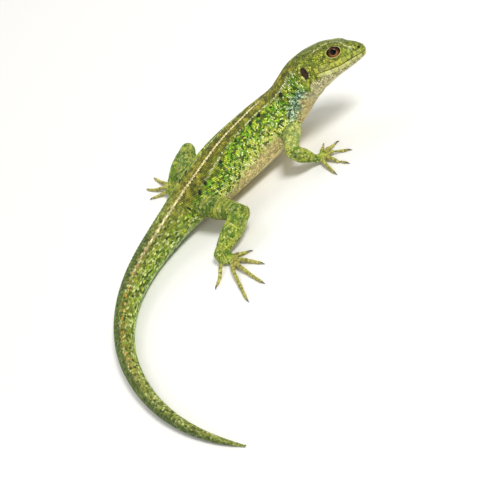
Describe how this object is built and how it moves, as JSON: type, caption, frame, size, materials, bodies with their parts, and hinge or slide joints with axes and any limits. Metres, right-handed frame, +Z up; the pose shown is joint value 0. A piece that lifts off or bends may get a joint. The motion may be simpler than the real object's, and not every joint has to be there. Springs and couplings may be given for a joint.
{
  "type": "wall lizard, life-size still model",
  "caption": "Green wall lizard standing alert: raised cocked head, four bent legs with clawed digits, long tail curving to its right.",
  "frame": {"origin": "on the floor under the middle of the bounding box", "axes": "+Z up out of the back; the trunk points along -Y, the animal's left is +X, and the tail sweeps round towards -X"},
  "size_m": [0.1082, 0.1008, 0.0249],
  "materials": {
    "head_scales": "smooth horny shields, satin, olive green",
    "throat_scales": "small flat scales, satin, pale cream",
    "trunk_scales": "fine beaded scales, satin, green with brown back and pale flecks",
    "belly_scales": "smooth wide plates, satin, cream",
    "tail_scales": "rings of keeled scales, satin, green with a tan stripe",
    "leg_scales": "small overlapping scales, satin, yellow green",
    "digit_scales": "ringed scales, satin, olive yellow with dark bands",
    "claw": "horn, glossy, dark brown",
    "eye": "wet gloss, brown iris with a black pupil",
    "eardrum": "thin stretched skin, satin, brown"
  },
  "bodies": {
    "root": {"head": "head_scales", "lower_jaw": "throat_scales", "eye_right": "eye", "eye_left": "eye", "ear_right": "eardrum", "ear_left": "eardrum", "neck": "trunk_scales", "trunk": "trunk_scales", "tail_base": "tail_scales", "tail_front": "tail_scales", "tail_middle": "tail_scales", "tail_rear": "tail_scales", "tail_tip": "tail_scales", "fore_right_upper_arm": "leg_scales", "fore_right_forearm": "leg_scales", "fore_right_hand": "leg_scales", "fore_right_digit_1": "digit_scales", "fore_right_digit_2": "digit_scales", "fore_right_digit_3": "digit_scales", "fore_right_digit_4": "digit_scales", "fore_right_digit_5": "digit_scales", "fore_left_upper_arm": "leg_scales", "fore_left_forearm": "leg_scales", "fore_left_hand": "leg_scales", "fore_left_digit_1": "digit_scales", "fore_left_digit_2": "digit_scales", "fore_left_digit_3": "digit_scales", "fore_left_digit_4": "digit_scales", "fore_left_digit_5": "digit_scales", "hind_right_thigh": "leg_scales", "hind_right_shank": "leg_scales", "hind_right_foot": "leg_scales", "hind_right_toe_1": "digit_scales", "hind_right_toe_2": "digit_scales", "hind_right_toe_3": "digit_scales", "hind_right_toe_4": "digit_scales", "hind_right_toe_5": "digit_scales", "hind_left_thigh": "leg_scales", "hind_left_shank": "leg_scales", "hind_left_foot": "leg_scales", "hind_left_toe_1": "digit_scales", "hind_left_toe_2": "digit_scales", "hind_left_toe_3": "digit_scales", "hind_left_toe_4": "digit_scales", "hind_left_toe_5": "digit_scales"}
  },
  "joints": []
}
